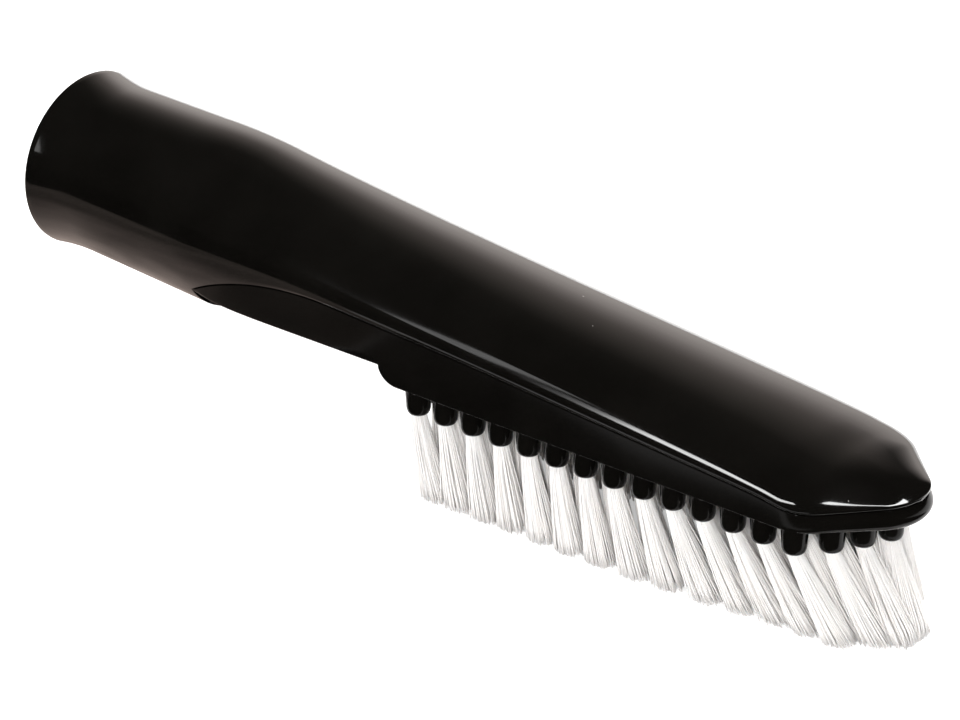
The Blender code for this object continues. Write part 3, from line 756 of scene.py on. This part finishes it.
def skirt_profile(x, half_width, tongue_end):
    """(inset, height) points at one place on the outline: inner floor, tongue, wall, underside."""
    under = under_height(x)
    floor = under + FLOOR_THICKNESS
    top = max(seam_height(x) - JOINT_GAP, under + THINNEST_WALL)
    nose = nose_share(x)
    rounding = min(SKIRT_ROUNDING + (NOSE_SKIRT_ROUNDING - SKIRT_ROUNDING) * nose, (top - under) * 0.45)
    edge = min(SKIRT_EDGE, (top - under) * 0.2)
    tongue_inset = HOOD_WALL - HOOD_OVERHANG + TONGUE_CLEARANCE
    if x < tongue_end:
        tongue_inset = max(tongue_inset, half_width - tongue_half_width(x))
        tongue_top = max(seam_height(x) + TONGUE_HEIGHT, floor)
    else:
        tongue_top = max(top, floor) - 0.02 * MM
    points = [(tongue_inset + TONGUE_WALL, min(floor, tongue_top)), (tongue_inset + TONGUE_WALL, tongue_top)]
    points += [(tongue_inset, tongue_top), (tongue_inset, top), (edge, top), (0.0, top - edge)]
    for t in spaced(0.0, 1.0, 6)[1:-1]:
        bulge = NOSE_BULGE * nose * sin(pi / 2 * t)
        points.append((-bulge, top - edge - (top - edge - under - rounding) * t))
    for aside, down in quarter_round(8):
        points.append((rounding * aside - NOSE_BULGE * nose, under + rounding * down))
    return points


def build_tray(material):
    """The base without its bosses and suction mouth."""
    bm = bmesh.new()
    tongue_end = BODY_LENGTH - TONGUE_NOSE_GAP
    sides = {1: [], -1: []}
    outline = base_outline()
    for sign in (1, -1):
        for x, y, nx, ny in outline:
            profile = skirt_profile(x, y, tongue_end)
            row = [place(x - nx * inset, sign * (y - ny * inset), height) for inset, height in profile]
            sides[sign].append(add_row(bm, row))
    for sign in (1, -1):
        skin_rows(bm, sides[sign], closed=False)
    middle_rows = []
    for end in (0, -1):
        rows = []
        for left, right in zip(sides[1], sides[-1]):
            a, b = left[end].co, right[end].co
            middle = [a.lerp(b, t) for t in spaced(0.0, 1.0, TRAY_COLUMNS)[1:-1]]
            rows.append([left[end]] + add_row(bm, middle) + [right[end]])
        skin_rows(bm, rows, closed=False)
        middle_rows.append(rows[0])
    floor_row, under_row = middle_rows
    loop = sides[1][0] + under_row[1:-1] + sides[-1][0][::-1] + floor_row[1:-1][::-1]
    bm.faces.new(loop)
    return finished_object("boat_base", bm, material)


def build_bosses(material):
    """Every boss with its rounded foot and its blind hole, as one mesh of separate bodies."""
    bm = bmesh.new()
    root_z = FOOT_Z + HEAD_FLOOR_HEIGHT + BOSS_SINK
    profile = [(BOSS_FOOT_RADIUS + BOSS_DRAFT, root_z)]
    for aside, down in quarter_round(6):
        profile.append((BOSS_FOOT_RADIUS - BOSS_EDGE * aside, FOOT_Z + BOSS_ROUNDING * down))
    profile.append((HOLE_RADIUS, FOOT_Z + HOLE_ROUNDING))
    profile.append((HOLE_RADIUS, FOOT_Z + HOLE_DEPTH))
    for node in TUFT_NODES:
        root = cad_tuft_ends(node)[0]
        rows = [add_row(bm, ring_points(root, radius, height, BOSS_SEGMENTS)) for radius, height in profile]
        skin_rows(bm, rows)
        bm.faces.new(rows[0])
        bm.faces.new(rows[-1][::-1])
    return finished_object("boss_union", bm, material)


def build_mouth_cutter(material):
    bm = bmesh.new()
    under = FOOT_Z + HEAD_FLOOR_HEIGHT
    levels = [(MOUTH_ROUNDING, under - CUTTER_REACH)]
    for aside, down in quarter_round(5):
        levels.append((MOUTH_ROUNDING * down, under + MOUTH_ROUNDING * aside))
    levels.append((0.0, under + FLOOR_THICKNESS + CUTTER_REACH))
    front = (MOUTH_END - MOUTH_RADIUS, -pi / 2)
    rear = (MOUTH_START + MOUTH_RADIUS, pi / 2)
    rows = []
    for grow, height in levels:
        ring = []
        for centre, start in (front, rear):
            for turn in spaced(start, start + pi, 24):
                radius = MOUTH_RADIUS + grow
                ring.append(place(centre + radius * cos(turn), radius * sin(turn), height))
        rows.append(add_row(bm, ring))
    skin_rows(bm, rows)
    bm.faces.new(rows[0][::-1])
    bm.faces.new(rows[-1])
    return finished_object("mouth_cutter", bm, material)


def build_base(material):
    base = build_tray(material)
    bosses = build_bosses(material)
    mouth = build_mouth_cutter(material)
    for tool, operation in ((bosses, "UNION"), (mouth, "DIFFERENCE")):
        step = base.modifiers.new(operation.lower(), "BOOLEAN")
        step.operation = operation
        step.solver = "EXACT"
        step.object = tool
    bpy.context.view_layer.update()
    apply_modifiers(base)
    for tool in (bosses, mouth):
        bpy.data.objects.remove(tool)
    return base


# Tufts

BOX_ROOM = 1.5 * MM  # depth inside the CAD box in which filaments are eased back
INNER_ROW_STEP = 5.4 * MM  # from a tuft towards the middle of the head
INNER_ROW_SHIFT = 1.4 * MM  # towards the nose
INNER_LOCK_RADIUS = 1.55 * MM
INNER_LOCK_SHARE = 0.75  # of a tuft's count of filaments
FILAMENT_SIDES = 4
FILAMENT_SHARES = (-0.06, 0.0, 0.2, 0.42, 0.64, 0.84, 1.0)  # stations from the root to the tip
HOLE_ROOM = 0.05 * MM
WANDER = 0.2 * MM  # sideways, at the tip
STRAY_WANDER = 3.2  # times that of the others
WANDER_POWER = 1.6
SHORTEST = 0.8 * MM  # height of the shortest tips above the floor
SHORT_POWER = 2.2
STRAY_SHORT = 1.6 * MM
BOW = 0.1 * MM
LEAN_BEND = 0.15  # share of the lean that grows towards the tip
TAPER_START = 0.8
TIP_TAPER = 0.25
LEAN_SPREAD = (0.95, 1.05)
LEAN_NOISE = (0.25 * MM, 0.12 * MM)
# Lean of the nose's tufts in millimetres
NOSE_LEANS = {
    "tuft_nose_right_1": (9.5, 3.2), "tuft_nose_right_2": (10.6, 0.5), "tuft_nose_tip": (8.8, -1.5),
    "tuft_nose_left_1": (4.4, -1.9), "tuft_nose_left_2": (4.8, -1.7),
}
FAR_ROW_LEAN = 3.6 * MM
FAR_ROW_TUCK = -0.9 * MM
# Lean of the near row's tips towards the nose, by the place of their boss along the body
SIDE_LEAN_CURVE = [(x * MM, lean * MM) for x, lean in (
    (114, 5.2), (122, 4.3), (130, 3.9), (145, 4.0), (160, 4.6),
    (168, 6.2), (178, 7.7), (190, 9.2), (201, 9.5), (213, 9.5))]
SIDE_TUCK = 4.2 * MM  # lean of the near row's last tips towards the middle
SIDE_TUCK_START = 160.0 * MM
SIDE_TUCK_REACH = 50.0 * MM


def filament_roots(count, radius):
    """Places of the filaments in the hole, spread evenly over its disc."""
    golden = pi * (3 - sqrt(5))
    places = []
    for i in range(count):
        reach = radius * sqrt((i + 0.5) / count)
        places.append(Vector((reach * cos(i * golden), reach * sin(i * golden))))
    return places


def kept_within(value, limit):
    """The value, eased so that it never passes the limit on either side of zero."""
    soft = limit - BOX_ROOM
    over = abs(value) - soft
    if over <= 0:
        return value
    return copysign(soft + BOX_ROOM * (1 - exp(-over / BOX_ROOM)), value)


def filament_path(draw, root, offset, lean, look):
    """Points of one filament from inside its hole to its tip, near the floor under the brush."""
    spread = look.tip_spread * draw.uniform(0.9, 1.06)
    stray = draw.random() < look.stray_share
    wander = Vector((draw.gauss(0, WANDER), draw.gauss(0, WANDER)))
    if stray:
        wander *= STRAY_WANDER
    short = draw.random() ** SHORT_POWER * SHORTEST
    if stray:
        short += draw.uniform(0.0, STRAY_SHORT)
    bow = draw.gauss(0.0, BOW)
    points = []
    for share in FILAMENT_SHARES:
        at = root.xy + offset
        height = root.z * (1 - share)
        if share > 0:
            at += offset * (spread - 1) * share + wander * share ** WANDER_POWER
            at += lean * ((1 - LEAN_BEND) * share + LEAN_BEND * share ** 2)
            at += Vector((bow * sin(pi * share), 0.0))
            height += short * share
        kept = [kept_within(value, limit - look.filament_diameter) for value, limit in zip(at, CAD_BOX[1])]
        points.append(Vector((*kept, height)))
    return points


def add_filament(bm, points, radius, tone, layers):
    rows = []
    for i, point in enumerate(points):
        share = i / (len(points) - 1)
        reach = radius * (1 - TIP_TAPER * max(0.0, share - TAPER_START) / (1 - TAPER_START))
        row = add_row(bm, ring_points(point, reach, point.z, FILAMENT_SIDES, tone))
        for vertex in row:
            vertex[layers[0]] = tone
            vertex[layers[1]] = share
        rows.append(row)
    skin_rows(bm, rows)
    bm.faces.new(rows[0])
    bm.faces.new(rows[-1][::-1])


def tuft_lean(node, root, tip):
    """How far a tuft's tips lean away from its root."""
    if node in NOSE_LEANS:
        return Vector(NOSE_LEANS[node]) * MM
    if node.startswith("tuft_right"):
        along = root.x - MOUTH_X
        tuck = SIDE_TUCK * smooth((along - SIDE_TUCK_START) / SIDE_TUCK_REACH)
        return Vector((through(SIDE_LEAN_CURVE, along), tuck))
    if node.startswith("tuft_left"):
        return Vector((FAR_ROW_LEAN, FAR_ROW_TUCK))
    return (tip - root).xy


def inner_root(root):
    """Root of the shorter row behind a tuft, in the head's flat underside."""
    rear = MOUTH_X + MOUTH_START + MOUTH_RADIUS
    front = MOUTH_X + MOUTH_END - MOUTH_RADIUS
    middle = Vector((min(max(root.x, rear), front), 0.0))
    at = root.xy + (middle - root.xy).normalized() * INNER_ROW_STEP
    return Vector((at.x + INNER_ROW_SHIFT, at.y, FOOT_Z + HEAD_FLOOR_HEIGHT))


def build_tuft(node, look, material):
    """A tuft in its boss and, except in the rear row, the inner lock behind it."""
    draw = random.Random(node)
    root, tip = cad_tuft_ends(node)
    bm = bmesh.new()
    layers = (bm.verts.layers.float.new("tone"), bm.verts.layers.float.new("along"))
    lean = tuft_lean(node, root, tip) * draw.uniform(*LEAN_SPREAD)
    lean += Vector([draw.gauss(0, noise) for noise in LEAN_NOISE])
    radius = look.filament_diameter / 2
    start = Vector((root.x, root.y, FOOT_Z))
    bundles = [(start, HOLE_RADIUS - radius - HOLE_ROOM, look.filaments)]
    if not node.startswith("tuft_rear"):
        bundles.append((inner_root(root), INNER_LOCK_RADIUS, round(look.filaments * INNER_LOCK_SHARE)))
    for bundle_root, reach, count in bundles:
        slope = lean * bundle_root.z / FOOT_Z
        for offset in filament_roots(count, reach):
            points = filament_path(draw, bundle_root, offset, slope, look)
            add_filament(bm, points, radius, draw.random(), layers)
    return smooth_object(node.replace("tuft", "bristles"), bm, material)


# Stage

WHITE = (1.0, 1.0, 1.0, 1.0)
REFLECTED_TINT = (1.0, 0.91, 0.86, 1.0)
ROOM_COLOUR = (0.010, 0.009, 0.008, 1.0)
FLOOR_GLOW = 0.42
DIFFUSE_WORLD = 0.62
BAND_LEVEL = 1.3
BAND_SKEW = 0.35  # how far the band's dark end turns with the direction's Y
BAND_SLOPE = 0.215  # how far it turns with the direction's height
BAND_TOP = 0.43  # height past which it turns no further
BAND_EDGE = (-0.33, -0.21)  # where the band fades out
CLOUD_SCALE = 38.0
CAMERA_AZIMUTH = radians(39.2)
CAMERA_ELEVATION = radians(25.95)
CAMERA_DISTANCE = 0.850
CAMERA_TARGET = (117.23 * MM, 6.78 * MM)  # along the body, and above the foot of the bosses
CAMERA_LENS = 147.4
FLOOR_SIZE = 12.0
# Lamps: place, target, size, power setting and share of that power
LAMPS = {
    "overhead": ((0.0, 0.1, 0.9), (0.0, 0.0, 0.0), (0.9, 0.9), "key_power", 1.0),
    "front_fill": ((0.5, -0.8, 0.45), (0.03, 0.0, 0.02), (0.5, 0.4), "fill_power", 1.0),
    "back_fill": ((-0.5, 0.8, 0.45), (-0.03, 0.0, 0.02), (0.6, 0.5), "fill_power", 0.6),
}
# Light of the band behind the object by the height of its direction, as shares of its level
BAND_STOPS = (
    (0.00, (0.75, 0.68, 0.64)),
    (0.15, (0.95, 0.87, 0.82)),
    (0.29, (1.00, 0.90, 0.85)),
    (0.40, (0.80, 0.71, 0.67)),
    (0.53, (0.45, 0.39, 0.36)),
    (0.67, (0.23, 0.20, 0.18)),
    (0.80, (0.055, 0.048, 0.042)),
    (1.00, (0.010, 0.009, 0.008)),
)
BLACK_STOPS = ((0.0, (0.0, 0.0, 0.0)), (1.0, (0.0, 0.0, 0.0)))
WHITE_STOPS = ((0.0, WHITE), (1.0, WHITE))
FADE_STOPS = (
    (0.0, (0.03, 0.03, 0.03)), (0.055, (0.10, 0.10, 0.10)), (0.085, (0.30, 0.30, 0.30)),
    (0.108, WHITE))
BELLY_STOPS = (
    (0.00, (0.34, 0.285, 0.250)),
    (0.27, (0.32, 0.262, 0.230)),
    (0.47, (0.66, 0.530, 0.475)),
    (0.62, (0.85, 0.690, 0.620)),
    (1.00, (0.55, 0.450, 0.400)),
)
# Cards that only reflections show: corners in millimetres, the axis that the light fades along,
# its stops from the card's low end to its high end, its strength and the share that mottles it
CARDS = {
    "far_flag": (((-6000, -112, 0.5), (-60, -112, 0.5), (-56, -24, 0.5), (112, -24, 0.5), (132, -8, 0.5),
                  (142, 0, 0.5), (142, 60, 0.5), (6000, 60, 0.5), (6000, -6000, 0.5), (-6000, -6000, 0.5)),
                 "X", BLACK_STOPS, 0.0, 0.0),
    "wall_flag": (((-54, 12, 0.5), (-20, 12, 0.5), (-20, 60, 0.5), (-54, 60, 0.5)),
                  "X", BLACK_STOPS, 0.0, 0.0),
    "belly_card": (((-1500, -112, 0.5), (-60, -112, 0.5), (-56, 40, 0.5), (-1500, 40, 0.5)),
                   "Y", BELLY_STOPS, 1.0, 0.4),
    "seam_card": (((-85, -108, 0.7), (-30, -93, 0.7), (25, -77, 0.7), (130, -71, 0.7), (130, -62, 0.7),
                   (25, -66, 0.7), (-30, -82, 0.7), (-85, -96, 0.7)), "X", WHITE_STOPS, 1.2, 0.0),
    "side_card": (((-255, -500, 130), (-120, -500, 170), (160, -500, 500), (120, -500, 640),
                   (-140, -500, 360), (-255, -500, 290)), "X", FADE_STOPS, 22.0, 0.45),
    "rim_card": (((-330, -500, 190), (-280, -500, 190), (-260, -500, 420), (-310, -500, 420)),
                 "X", WHITE_STOPS, 3.2, 0.5),
    "nose_card": (((205, -50, 280), (275, -70, 280), (275, 110, 280), (125, 145, 280), (192, 40, 280)),
                  "X", WHITE_STOPS, 22.0, 0.0),
}


def pale_floor(colour):
    """Pale floor that shows white to the camera and in reflections, and keeps soft shadows."""
    graph = Graph(bpy.data.materials.new("pale_floor"))
    path = graph.node("ShaderNodeLightPath")
    seen = path.out("Is Camera Ray") + path.out("Is Glossy Ray") + path.out("Is Transmission Ray")
    tint = graph.mix_colour(path.out("Is Camera Ray"), REFLECTED_TINT, WHITE)
    diffuse = graph.node("ShaderNodeBsdfDiffuse", {"Color": rgba(colour)})
    glow = graph.node("ShaderNodeEmission", {
        "Color": tint, "Strength": seen.clamped(0.0, 1.0) * FLOOR_GLOW})
    return graph.finish(graph.node("ShaderNodeAddShader", [diffuse.out(0), glow.out(0)]))


def studio_world():
    """White to the camera; to reflections a dim room with a soft band of light behind the object."""
    world = bpy.data.worlds.new("studio")
    bpy.context.scene.world = world
    graph = Graph(world)
    path = graph.node("ShaderNodeLightPath")
    direction = graph.node("ShaderNodeTexCoord").out("Generated")
    parts = graph.node("ShaderNodeSeparateXYZ", [direction])
    height = parts.out("Z").clamped(0.0, BAND_TOP) * BAND_SLOPE
    aside = 0 - parts.out("X") - parts.out("Y") * BAND_SKEW - height
    behind = parts.out("Y").clamped(0.1, 0.6) * aside.clamped(*BAND_EDGE)
    band = graph.node("ShaderNodeValToRGB", {"Fac": parts.out("Z")}, BAND_STOPS).out(0)
    room = graph.mix_colour(behind, ROOM_COLOUR, band)
    light = graph.mix_colour(path.out("Is Glossy Ray"), rgba([DIFFUSE_WORLD] * 3), room)
    shown = graph.mix_colour(path.out("Is Camera Ray"), light, WHITE)
    strength = path.out("Is Glossy Ray") * (BAND_LEVEL - 1) + 1
    background = graph.node("ShaderNodeBackground", {"Color": shown, "Strength": strength})
    graph.node("ShaderNodeOutputWorld", {"Surface": background.out(0)})


def add_lamp(name, look):
    """A soft rectangular lamp that lights the object but isn't reflected in it."""
    at, target, size, setting, share = LAMPS[name]
    data = bpy.data.lights.new(name, "AREA")
    data.shape = "RECTANGLE"
    data.size, data.size_y = size
    data.energy = getattr(look, setting) * share
    lamp = linked(name, data)
    lamp.location = at
    lamp.rotation_euler = (Vector(target) - Vector(at)).to_track_quat("-Z", "Y").to_euler()
    lamp.visible_glossy = False


def card_glow(name, axis, stops, strength, mottle):
    """Light of a reflected card, changing along one axis of the card and lightly mottled."""
    graph = Graph(bpy.data.materials.new(name + "_light"))
    where = graph.node("ShaderNodeTexCoord").out("Generated")
    along = graph.node("ShaderNodeSeparateXYZ", [where]).out(axis)
    colour = graph.node("ShaderNodeValToRGB", {"Fac": along}, stops).out(0)
    clouds = graph.noise(graph.object_place(), CLOUD_SCALE).clamped(0.35, 0.65)
    glow = graph.node("ShaderNodeEmission", {"Color": colour, "Strength": strength * (1 - clouds * mottle)})
    return graph.finish(glow)


def add_card(name, level):
    """A flat card in the studio that only reflections show."""
    corners, axis, stops, strength, mottle = CARDS[name]
    mesh = bpy.data.meshes.new(name)
    mesh.from_pydata([Vector(corner) * MM for corner in corners], [], [range(len(corners))])
    mesh.materials.append(card_glow(name, axis, stops, strength * level, mottle))
    card = linked(name, mesh)
    for ray in ("camera", "diffuse", "transmission", "shadow"):
        setattr(card, "visible_" + ray, False)


def add_floor(colour):
    bpy.ops.mesh.primitive_grid_add(x_subdivisions=8, y_subdivisions=8, size=FLOOR_SIZE)
    floor = bpy.context.active_object
    floor.name = "studio_floor"
    floor.data.materials.append(pale_floor(colour))


def add_camera():
    camera = linked("camera", bpy.data.cameras.new("camera"))
    target = Vector((MOUTH_X + CAMERA_TARGET[0], 0.0, FOOT_Z + CAMERA_TARGET[1]))
    level = cos(CAMERA_ELEVATION)
    back = Vector((
        sin(CAMERA_AZIMUTH) * level, -cos(CAMERA_AZIMUTH) * level, sin(CAMERA_ELEVATION)))
    camera.location = target + back * CAMERA_DISTANCE
    camera.rotation_euler = (-back).to_track_quat("-Z", "Y").to_euler()
    camera.data.lens = CAMERA_LENS
    camera.data.sensor_width = 36.0
    camera.data.clip_end = 50.0
    bpy.context.scene.camera = camera


# Add-on

SHARE = {"min": 0.0, "max": 1.0, "subtype": "FACTOR"}
COLOUR = {"min": 0.0, "max": 1.0, "subtype": "COLOR"}


class BrushLook(bpy.types.PropertyGroup):
    """Sizes and colours that a user would change."""

    plastic: FloatVectorProperty(
        name="Plastic", description="Colour of the moulded body",
        default=(0.0021, 0.0019, 0.0016), **COLOUR)
    hood_roughness: FloatProperty(
        name="Hood Roughness", description="Roughness of the hood's gloss",
        default=0.06, **SHARE)
    base_roughness: FloatProperty(
        name="Base Roughness", description="Roughness of the base's gloss",
        default=0.1, **SHARE)
    hood_gloss: FloatProperty(
        name="Hood Gloss", description="Specular level of the hood",
        default=0.5, **SHARE)
    base_gloss: FloatProperty(
        name="Base Gloss", description="Specular level of the base",
        default=0.12, **SHARE)
    nylon: FloatVectorProperty(
        name="Nylon", description="Colour of the filaments",
        default=(0.955, 0.915, 0.885), **COLOUR)
    filaments: IntProperty(
        name="Filaments", description="Filaments in each tuft", default=165, min=10, max=250)
    filament_diameter: FloatProperty(
        name="Filament Diameter", description="Thickness of one filament",
        default=0.30 * MM, min=0.1 * MM, max=1.0 * MM, subtype="DISTANCE", unit="LENGTH", precision=5)
    tip_spread: FloatProperty(
        name="Tip Spread", description="Width of a tuft at its tips against its root",
        default=2.35, min=1.0, max=4.0)
    stray_share: FloatProperty(
        name="Stray Share", description="Share of filaments that stand out of their tuft",
        default=0.05, min=0.0, max=0.5, subtype="FACTOR")
    floor: FloatVectorProperty(
        name="Floor", description="Colour of the studio floor",
        default=(0.82, 0.82, 0.82), **COLOUR)
    key_power: FloatProperty(
        name="Key Power", description="Power of the overhead soft light in watts",
        default=9.0, min=0.0, max=100.0)
    fill_power: FloatProperty(
        name="Fill Power", description="Power of the front soft light in watts; the back one has 0.6 of it",
        default=9.0, min=0.0, max=100.0)
    card_light: FloatProperty(
        name="Card Light", description="Level of the reflected light cards",
        default=1.0, min=0.0, max=10.0)


class BRUSH_OT_stage(bpy.types.Operator):
    """Adds the floor, the lights, the world and the camera."""

    bl_idname = "brush.stage"
    bl_label = "Studio Stage"

    def execute(self, context):
        look = context.scene.brush_look
        context.scene.view_settings.view_transform = "Standard"
        add_camera()
        add_floor(look.floor)
        studio_world()
        for name in LAMPS:
            add_lamp(name, look)
        for name in CARDS:
            add_card(name, look.card_light)
        return {"FINISHED"}


class BRUSH_OT_hood(bpy.types.Operator):
    """Adds the glossy socket tube and hood."""

    bl_idname = "brush.hood"
    bl_label = "Hood"

    def execute(self, context):
        look = context.scene.brush_look
        material = moulded_black("hood_gloss_black", look.plastic, look.hood_roughness, look.hood_gloss)
        seat(build_hood(material), ["upper_shell"])
        return {"FINISHED"}


class BRUSH_OT_base(bpy.types.Operator):
    """Adds the boat-shaped base with its bosses and suction mouth."""

    bl_idname = "brush.base"
    bl_label = "Base"

    def execute(self, context):
        look = context.scene.brush_look
        material = moulded_black("base_gloss_black", look.plastic, look.base_roughness, look.base_gloss)
        seat(build_base(material), ["lower_base"])
        return {"FINISHED"}


class BRUSH_OT_tufts(bpy.types.Operator):
    """Adds one filament tuft in every boss."""

    bl_idname = "brush.tufts"
    bl_label = "Tufts"

    def execute(self, context):
        look = context.scene.brush_look
        material = nylon("nylon_filament", look.nylon)
        for node in TUFT_NODES:
            seat(build_tuft(node, look, material), [node])
        return {"FINISHED"}


class BRUSH_PT_panel(bpy.types.Panel):
    """Lists the brush's pieces and their settings."""

    bl_idname = "BRUSH_PT_panel"
    bl_label = "Vacuum Brush"
    bl_space_type = "VIEW_3D"
    bl_region_type = "UI"
    bl_category = "Brush"

    def draw(self, context):
        layout = self.layout
        for operator in OPERATORS:
            layout.operator(operator.bl_idname)
        for name in BrushLook.__annotations__:
            layout.prop(context.scene.brush_look, name)


OPERATORS = (BRUSH_OT_stage, BRUSH_OT_hood, BRUSH_OT_base, BRUSH_OT_tufts)
CLASSES = (BrushLook, *OPERATORS, BRUSH_PT_panel)


def register():
    for item in CLASSES:
        bpy.utils.register_class(item)
    bpy.types.Scene.brush_look = PointerProperty(type=BrushLook)


def unregister():
    del bpy.types.Scene.brush_look
    for item in reversed(CLASSES):
        bpy.utils.unregister_class(item)


def main():
    register()
    bpy.ops.brush.stage()
    bpy.ops.brush.hood()
    bpy.ops.brush.base()
    bpy.ops.brush.tufts()
    bpy.context.view_layer.update()


if __name__ == "__main__":
    main()
